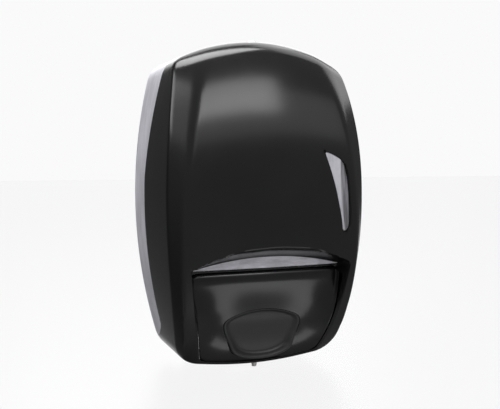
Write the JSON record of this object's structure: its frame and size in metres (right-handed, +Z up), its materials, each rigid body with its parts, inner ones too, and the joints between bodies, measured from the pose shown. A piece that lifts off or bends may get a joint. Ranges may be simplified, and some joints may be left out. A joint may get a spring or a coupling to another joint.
{
  "type": "wall mounted soap dispenser",
  "caption": "Barrel-shaped push soap dispenser with a hinged gloss cover, scooped push panel, level windows, wall tray, refillable tank, piston pump and roof lock",
  "frame": {"origin": "on the wall plane, on the centre line, 139.5 mm below the top of the roof", "axes": "+Z up, +Y into the wall (the back face's outward normal), +X to the right as seen from the front; the front faces -Y"},
  "size_m": [0.1826, 0.1132, 0.2835],
  "materials": {
    "black_gloss": "polished black ABS",
    "black_satin": "fine satin black plastic",
    "smoke_clear": "smoke-grey translucent polycarbonate, polished",
    "smoke_tray": "smoke-grey translucent ABS",
    "milky_tank": "milky translucent polyethylene",
    "grey_cap": "moulded grey plastic",
    "pump_white": "white polypropylene",
    "seal_rubber": "black sealing rubber",
    "steel": "stainless steel",
    "lock_chrome": "bright nickel-plated lock barrel"
  },
  "bodies": {
    "base": {"wall_tray": "smoke_tray", "hinge_pin_left": "steel", "hinge_pin_right": "steel", "tank": "milky_tank", "tank_screw_left": "steel", "tank_screw_right": "steel", "inlet_gasket": "seal_rubber", "inlet_nut": "grey_cap", "pump_body": "pump_white", "inlet_valve": "seal_rubber", "return_spring": "steel"},
    "cover": {"front_cover": "black_gloss", "blade_window": "smoke_clear", "slot_window": "smoke_clear", "lever_rod": "steel", "lock_nut": "steel"},
    "push_lever": {"push_panel": "black_gloss", "press_pad": "black_satin"},
    "plunger": {"plunger": "pump_white", "piston_seal": "seal_rubber", "outlet_ball": "steel", "nozzle_tip": "pump_white"},
    "lock": {"lock_barrel": "lock_chrome", "lock_cam": "steel", "cam_screw": "steel"},
    "filler_cap": {"filler_cap": "grey_cap", "cap_seal": "seal_rubber"}
  },
  "joints": [
    {"name": "cover_hinge", "type": "hinge", "parent": "base", "child": "cover", "pos_m": [0, -0.01, -0.129], "axis": [1, 0, 0], "range_deg": [0, 80]},
    {"name": "push_lever", "type": "hinge", "parent": "cover", "child": "push_lever", "pos_m": [0, -0.0855, -0.057], "axis": [1, 0, 0], "range_deg": [0, 7], "stiffness_Nm_per_rad": 1.5},
    {"name": "plunger_slide", "type": "slide", "parent": "base", "child": "plunger", "axis": [0, 1, 0], "range_m": [0, 0.0075], "deforming": ["return_spring"]},
    {"name": "lock_turn", "type": "hinge", "parent": "cover", "child": "lock", "pos_m": [0, -0.0545, 0.1395], "axis": [0, 0, 1], "range_deg": [0, 90]},
    {"name": "cap_turn", "type": "hinge", "parent": "base", "child": "filler_cap", "pos_m": [0, -0.028, 0.1148], "axis": [0, 0, 1], "range_deg": [0, 90]}
  ],
  "couplings": [
    {"joint": "plunger_slide", "follows": "push_lever", "m_per_rad": 0.061}
  ]
}
